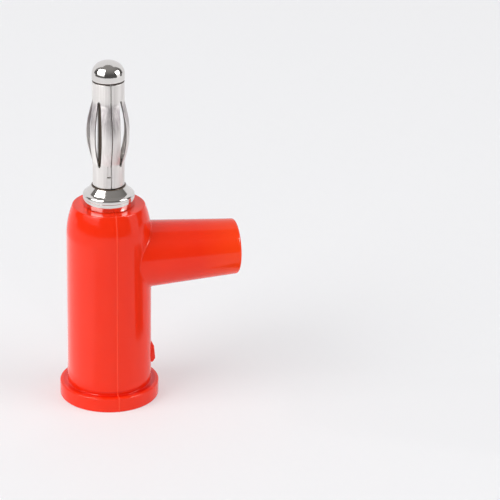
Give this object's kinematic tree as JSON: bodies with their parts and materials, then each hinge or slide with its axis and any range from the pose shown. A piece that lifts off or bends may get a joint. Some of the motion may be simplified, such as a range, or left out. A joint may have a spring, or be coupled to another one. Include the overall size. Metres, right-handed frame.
{
  "type": "banana plug",
  "caption": "Stackable banana plug: a caged contact pin on top, a socket in its foot and a side arm that takes the cable.",
  "frame": {"origin": "middle of the whole part's footprint, on the surface that the flange stands on", "axes": "+Z along the pin, from the socket in the foot to the domed head; +X along the cable arm; +Y completes the frame"},
  "size_m": [0.0222, 0.0124, 0.0439],
  "materials": {
    "red_plastic": "moulded, semi-gloss, signal red",
    "nickel_plate": "nickel plate on turned brass, bright",
    "spring_nickel": "nickel plate on spring bronze strip, satin",
    "zinc_steel": "zinc-plated steel"
  },
  "bodies": {
    "plug": {"housing": "red_plastic", "contact_core": "nickel_plate"},
    "cage": {"cage_spring": "spring_nickel"},
    "screw": {"clamp_screw": "zinc_steel"}
  },
  "joints": [
    {"name": "cage_turn", "type": "hinge", "parent": "plug", "child": "cage", "pos_m": [-0.00496, 0, 0.03479], "axis": [0, 0, 1], "continuous": true},
    {"name": "screw_travel", "type": "slide", "parent": "plug", "child": "screw", "axis": [0, 0, 1], "range_m": [0, 0.0018]}
  ]
}
